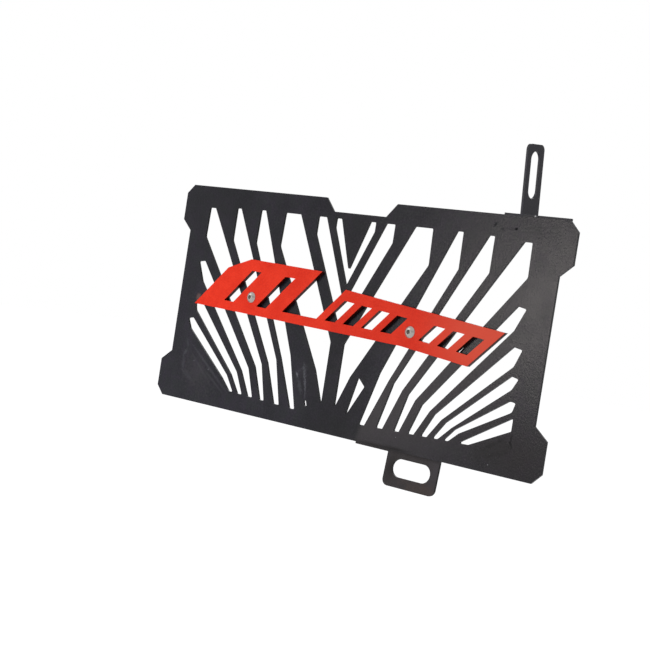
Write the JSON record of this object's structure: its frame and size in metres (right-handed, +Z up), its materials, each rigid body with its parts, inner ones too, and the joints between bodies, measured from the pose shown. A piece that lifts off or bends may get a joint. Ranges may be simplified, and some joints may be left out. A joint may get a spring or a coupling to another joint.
{
  "type": "radiator guard",
  "caption": "Flat slotted sheet-metal guard for a motorcycle radiator, with a fan of tapering cut-outs, a raised red badge plate and slotted fixing tabs above and below.",
  "frame": {"origin": "middle of the lower lug's slot, on the lug's back face, which rests on the radiator", "axes": "+Z up along the guard's height, +X to the right seen from the front along its width, and the guard's front looks along -Y"},
  "size_m": [0.3121, 0.0242, 0.2109],
  "materials": {
    "black_powder_coat": "satin black powder coat",
    "red_paint": "satin red paint",
    "bright_steel": "plain bright steel"
  },
  "bodies": {
    "root": {"guard_plate": "black_powder_coat", "upper_bracket": "black_powder_coat", "lower_bracket": "black_powder_coat", "badge_plate": "red_paint", "screw_left": "bright_steel", "screw_right": "bright_steel", "nut_left": "bright_steel", "nut_right": "bright_steel"}
  },
  "joints": []
}
